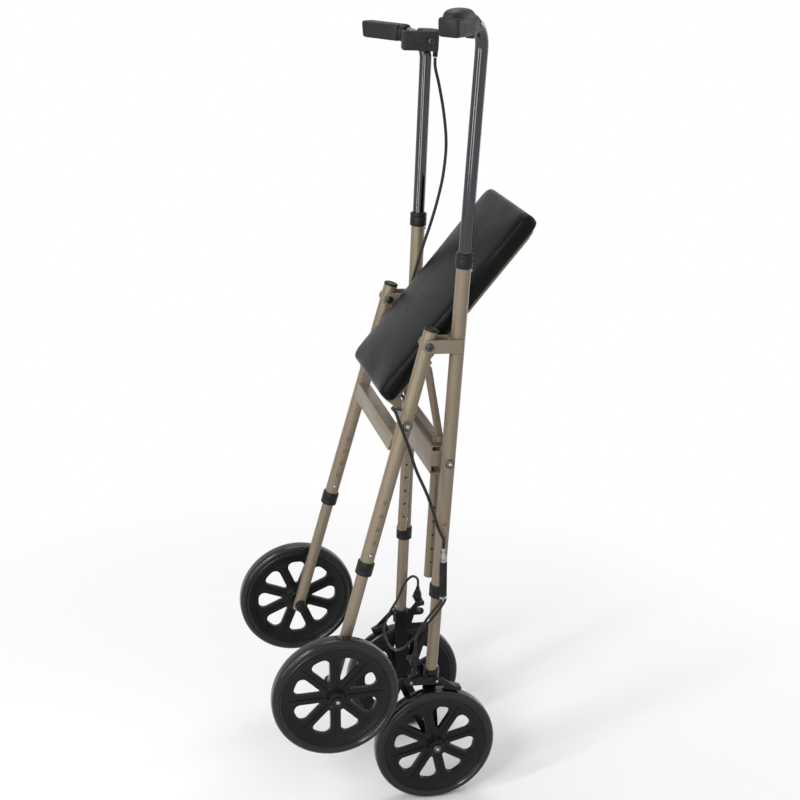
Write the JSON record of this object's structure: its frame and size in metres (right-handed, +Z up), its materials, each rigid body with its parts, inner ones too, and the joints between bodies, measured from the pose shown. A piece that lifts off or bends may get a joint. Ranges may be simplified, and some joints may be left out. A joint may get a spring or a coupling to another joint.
{
  "type": "knee walker",
  "caption": "Folding knee walker with a padded knee rest on sliding posts, telescoping legs, bent handles, a cable brake and spoked wheels, standing folded.",
  "frame": {"origin": "on the ground under the middle of the walker's box, as it stands folded", "axes": "+Z up the handle legs; -X the way the user faces, towards the swing legs; -Y the user's left side"},
  "size_m": [0.4017, 0.4912, 1.2996],
  "materials": {
    "bronze_paint": "metallic satin",
    "chrome": "polished",
    "zinc_steel": "zinc plated",
    "black_plastic": "moulded",
    "black_paint": "satin",
    "black_rubber": "matt",
    "tyre": "matt",
    "black_vinyl": "padded vinyl"
  },
  "bodies": {
    "handle_legs": {"left_handle_leg": "bronze_paint", "left_handle_collar": "black_plastic", "left_lower_collar": "black_plastic", "left_clevis": "bronze_paint", "left_hinge_bolt": "zinc_steel", "right_handle_leg": "bronze_paint", "right_handle_collar": "black_plastic", "right_lower_collar": "black_plastic", "right_clevis": "bronze_paint", "right_hinge_bolt": "zinc_steel", "handle_leg_channel": "bronze_paint", "cable_adjuster": "zinc_steel", "cable_splitter": "black_plastic", "brake_cable": "black_rubber"},
    "left_handle": {"left_handle_tube": "chrome", "left_grip": "black_rubber"},
    "right_handle": {"right_handle_tube": "chrome", "right_grip": "black_rubber", "brake_lever_case": "black_plastic"},
    "brake_lever": {"brake_lever": "black_plastic"},
    "posts": {"pad_posts": "bronze_paint"},
    "knee_pad": {"pad_base": "bronze_paint", "knee_cushion": "black_vinyl"},
    "swing_legs": {"swing_leg_channel": "bronze_paint", "left_swing_leg": "bronze_paint", "left_swing_leg_cap": "black_plastic", "left_swing_collar": "black_plastic", "right_swing_leg": "bronze_paint", "right_swing_leg_cap": "black_plastic", "right_swing_collar": "black_plastic"},
    "left_front_foot": {"left_lower_tube": "bronze_paint", "left_wheel_bracket": "black_paint", "left_front_axle": "zinc_steel", "left_brake_cable": "black_rubber", "left_brake_spring": "zinc_steel"},
    "left_swing_foot": {"left_swing_tube": "bronze_paint", "left_swing_axle": "black_paint"},
    "left_front_wheel": {"left_front_rim": "black_plastic", "left_front_tyre": "tyre"},
    "left_swing_wheel": {"left_swing_rim": "black_plastic", "left_swing_tyre": "tyre"},
    "left_brake_arm": {"left_brake_arm": "black_paint"},
    "left_lower_button": {"left_lower_snap_button": "zinc_steel"},
    "left_handle_button": {"left_handle_snap_button": "zinc_steel"},
    "left_swing_button": {"left_swing_snap_button": "zinc_steel"},
    "right_front_foot": {"right_lower_tube": "bronze_paint", "right_wheel_bracket": "black_paint", "right_front_axle": "zinc_steel", "right_brake_cable": "black_rubber", "right_brake_spring": "zinc_steel"},
    "right_swing_foot": {"right_swing_tube": "bronze_paint", "right_swing_axle": "black_paint"},
    "right_front_wheel": {"right_front_rim": "black_plastic", "right_front_tyre": "tyre"},
    "right_swing_wheel": {"right_swing_rim": "black_plastic", "right_swing_tyre": "tyre"},
    "right_brake_arm": {"right_brake_arm": "black_paint"},
    "right_lower_button": {"right_lower_snap_button": "zinc_steel"},
    "right_handle_button": {"right_handle_snap_button": "zinc_steel"},
    "right_swing_button": {"right_swing_snap_button": "zinc_steel"}
  },
  "joints": [
    {"name": "left_handle_height", "type": "slide", "parent": "handle_legs", "child": "left_handle", "axis": [0, -0.0436, 0.999], "range_m": [-0.1016, 0]},
    {"name": "right_handle_height", "type": "slide", "parent": "handle_legs", "child": "right_handle", "axis": [0, 0.0436, 0.999], "range_m": [-0.0508, 0.0508], "deforming": ["brake_cable"]},
    {"name": "brake_lever_pull", "type": "hinge", "parent": "right_handle", "child": "brake_lever", "pos_m": [0.0762, 0.1215, 1.2195], "axis": [0, 1, 0], "range_deg": [0, 20], "stiffness_Nm_per_rad": 1, "springref_deg": -5.73},
    {"name": "post_height", "type": "slide", "parent": "handle_legs", "child": "posts", "axis": [0, 0, 1], "range_m": [0, 0.075]},
    {"name": "pad_tilt", "type": "hinge", "parent": "posts", "child": "knee_pad", "pos_m": [0.0662, 0, 0.641], "axis": [0, 1, 0], "range_deg": [0, 83.5]},
    {"name": "fold", "type": "hinge", "parent": "handle_legs", "child": "swing_legs", "pos_m": [0.0291, 0, 0.8038], "axis": [0, 1, 0], "range_deg": [0, 30]},
    {"name": "left_leg_length", "type": "slide", "parent": "handle_legs", "child": "left_front_foot", "axis": [0, -0.0436, 0.999], "range_m": [-0.0952, 0], "deforming": ["left_brake_cable"]},
    {"name": "left_swing_leg_length", "type": "slide", "parent": "swing_legs", "child": "left_swing_foot", "axis": [0.2215, 0.025, 0.9748], "range_m": [-0.0896, 0]},
    {"name": "left_front_wheel_spin", "type": "hinge", "parent": "left_front_foot", "child": "left_front_wheel", "pos_m": [0.0874, -0.1117, 0.1016], "axis": [0, 1, 0], "continuous": true},
    {"name": "left_swing_wheel_spin", "type": "hinge", "parent": "left_swing_foot", "child": "left_swing_wheel", "pos_m": [-0.09834, -0.17066, 0.24287], "axis": [0, 1, 0], "continuous": true},
    {"name": "left_brake_pull", "type": "hinge", "parent": "left_front_foot", "child": "left_brake_arm", "pos_m": [0.0822, -0.1189, 0.2235], "axis": [0, 1, 0], "range_deg": [0, 3.4], "deforming": ["left_brake_spring"]},
    {"name": "left_lower_button_press", "type": "slide", "parent": "handle_legs", "child": "left_lower_button", "axis": [0, 0.999, 0.0436], "range_m": [0, 0.0025], "stiffness_N_per_m": 400, "springref_m": -0.002},
    {"name": "left_handle_button_press", "type": "slide", "parent": "handle_legs", "child": "left_handle_button", "axis": [-1, 0, 0], "range_m": [0, 0.0025], "stiffness_N_per_m": 400, "springref_m": -0.002},
    {"name": "left_swing_button_press", "type": "slide", "parent": "swing_legs", "child": "left_swing_button", "axis": [-0.0055, 0.9997, -0.0243], "range_m": [0, 0.0025], "stiffness_N_per_m": 400, "springref_m": -0.002},
    {"name": "right_leg_length", "type": "slide", "parent": "handle_legs", "child": "right_front_foot", "axis": [0, 0.0436, 0.999], "range_m": [-0.0952, 0], "deforming": ["right_brake_cable"]},
    {"name": "right_swing_leg_length", "type": "slide", "parent": "swing_legs", "child": "right_swing_foot", "axis": [0.2215, -0.025, 0.9748], "range_m": [-0.0896, 0]},
    {"name": "right_front_wheel_spin", "type": "hinge", "parent": "right_front_foot", "child": "right_front_wheel", "pos_m": [0.0874, 0.1117, 0.1016], "axis": [0, 1, 0], "continuous": true},
    {"name": "right_swing_wheel_spin", "type": "hinge", "parent": "right_swing_foot", "child": "right_swing_wheel", "pos_m": [-0.09834, 0.17066, 0.24287], "axis": [0, 1, 0], "continuous": true},
    {"name": "right_brake_pull", "type": "hinge", "parent": "right_front_foot", "child": "right_brake_arm", "pos_m": [0.0702, 0.1189, 0.2235], "axis": [0, -1, 0], "range_deg": [0, 3.4], "deforming": ["right_brake_spring"]},
    {"name": "right_lower_button_press", "type": "slide", "parent": "handle_legs", "child": "right_lower_button", "axis": [0, 0.999, -0.0436], "range_m": [0, 0.0025], "stiffness_N_per_m": 400, "springref_m": -0.002},
    {"name": "right_handle_button_press", "type": "slide", "parent": "handle_legs", "child": "right_handle_button", "axis": [-1, 0, 0], "range_m": [0, 0.0025], "stiffness_N_per_m": 400, "springref_m": -0.002},
    {"name": "right_swing_button_press", "type": "slide", "parent": "swing_legs", "child": "right_swing_button", "axis": [0.0055, 0.9997, 0.0243], "range_m": [0, 0.0025], "stiffness_N_per_m": 400, "springref_m": -0.002}
  ],
  "couplings": [
    {"joint": "left_brake_pull", "follows": "brake_lever_pull", "ratio": 0.17},
    {"joint": "right_brake_pull", "follows": "brake_lever_pull", "ratio": 0.17}
  ]
}
